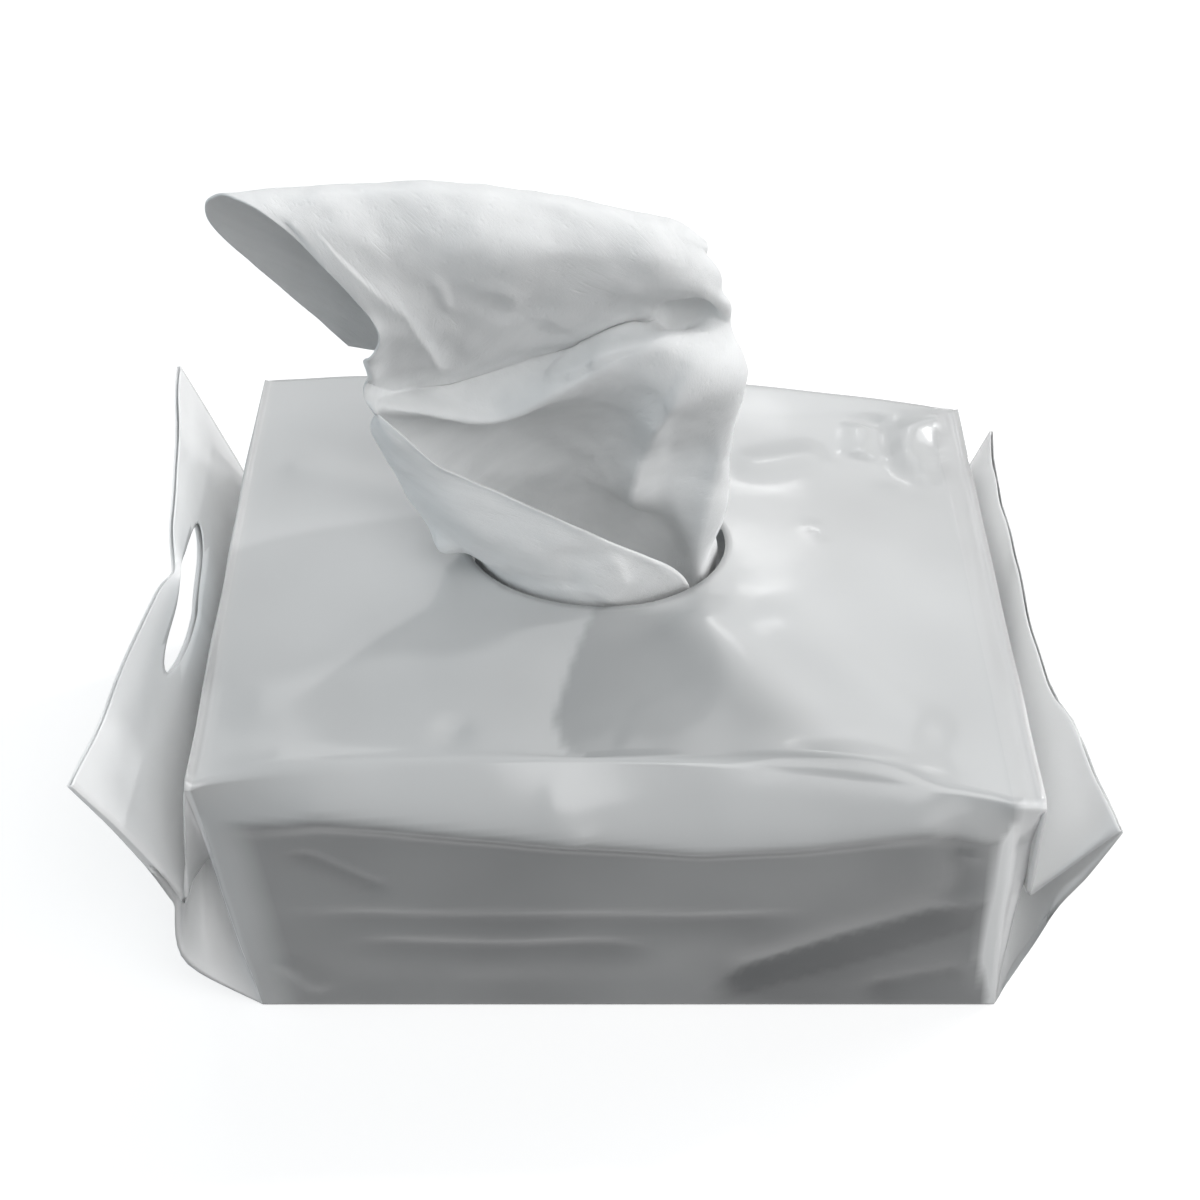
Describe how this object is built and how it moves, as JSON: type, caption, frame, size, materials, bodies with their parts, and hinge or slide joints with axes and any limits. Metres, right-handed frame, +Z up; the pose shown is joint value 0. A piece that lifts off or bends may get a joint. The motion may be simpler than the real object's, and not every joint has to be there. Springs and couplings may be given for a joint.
{
  "type": "wet wipes pack",
  "caption": "Soft glossy film pack of wet wipes with tucked ends, standing end fins, a hand hole in one fin and a wipe drawn up through an oval opening in the top.",
  "frame": {"origin": "on the flat base, below the middle of the pack", "axes": "+X along the pack towards the end without the hand hole, +Y from the front panel to the back panel, +Z up out of the base"},
  "size_m": [0.197, 0.1186, 0.1683],
  "materials": {
    "film": "glossy, lightly wrinkled white film",
    "cloth": "moist white nonwoven"
  },
  "bodies": {
    "root": {"film_pouch": "film", "wipe_stack": "cloth", "pulled_wipe": "cloth"}
  },
  "joints": []
}
